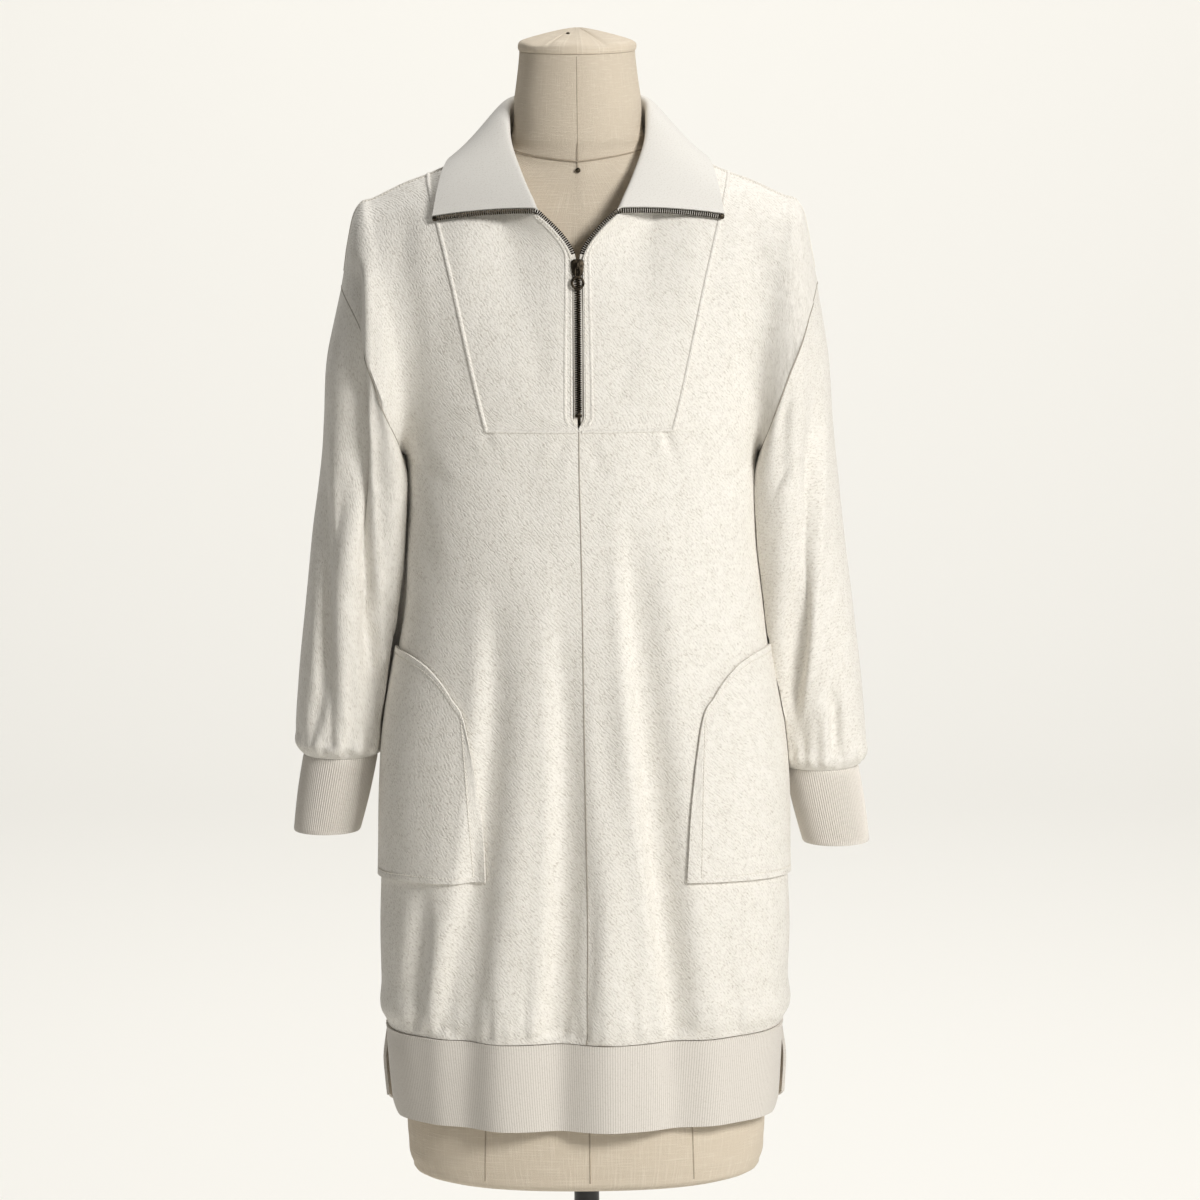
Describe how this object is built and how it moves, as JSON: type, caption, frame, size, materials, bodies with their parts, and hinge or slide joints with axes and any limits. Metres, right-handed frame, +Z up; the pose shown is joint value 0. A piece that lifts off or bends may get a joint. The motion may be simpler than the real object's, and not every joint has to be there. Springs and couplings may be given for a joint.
{
  "type": "sweatshirt dress on dress form",
  "caption": "Half-zip sweatshirt dress with fold-down collar, yoke, patch pockets, rib cuffs and hem bands, on a limbless dress form with pole and round base.",
  "frame": {"origin": "centre of the round base's underside, on the floor under the pole", "axes": "+Z up, the front of the dress faces -Y, +X towards the viewer's right"},
  "size_m": [0.5272, 0.38, 1.5275],
  "materials": {
    "fleece": "oatmeal heather fleece, matt",
    "smooth_knit": "smooth knit, matt",
    "rib_knit": "ribbed knit, matt",
    "canvas": "slubbed cotton canvas over the form",
    "zip_tape": "woven zip tape",
    "aged_brass": "aged dark brass, satin",
    "black_enamel": "black enamel, satin"
  },
  "bodies": {
    "root": {"front_left": "fleece", "front_right": "fleece", "yoke_left": "fleece", "yoke_right": "fleece", "back": "fleece", "sleeve_left": "fleece", "sleeve_right": "fleece", "pocket_left": "fleece", "pocket_right": "fleece", "collar": "smooth_knit", "cuff_left": "rib_knit", "cuff_right": "rib_knit", "hem_front": "rib_knit", "hem_back": "rib_knit", "zip_tape_left": "zip_tape", "zip_tape_right": "zip_tape", "zip_teeth_left": "aged_brass", "zip_teeth_right": "aged_brass", "zip_top_stop_left": "aged_brass", "zip_top_stop_right": "aged_brass", "zip_bottom_stop": "aged_brass", "zip_chain": "aged_brass", "zip_slider": "aged_brass", "form_body": "canvas", "form_cap": "canvas", "form_pole": "black_enamel", "form_base": "black_enamel"},
    "pull_tab": {"pull_tab": "aged_brass"}
  },
  "joints": [
    {"name": "pull_tab_hinge", "type": "hinge", "parent": "root", "child": "pull_tab", "pos_m": [-0.00104, -0.09807, 1.32114], "axis": [-1, 0, 0], "range_deg": [0, 165]}
  ]
}
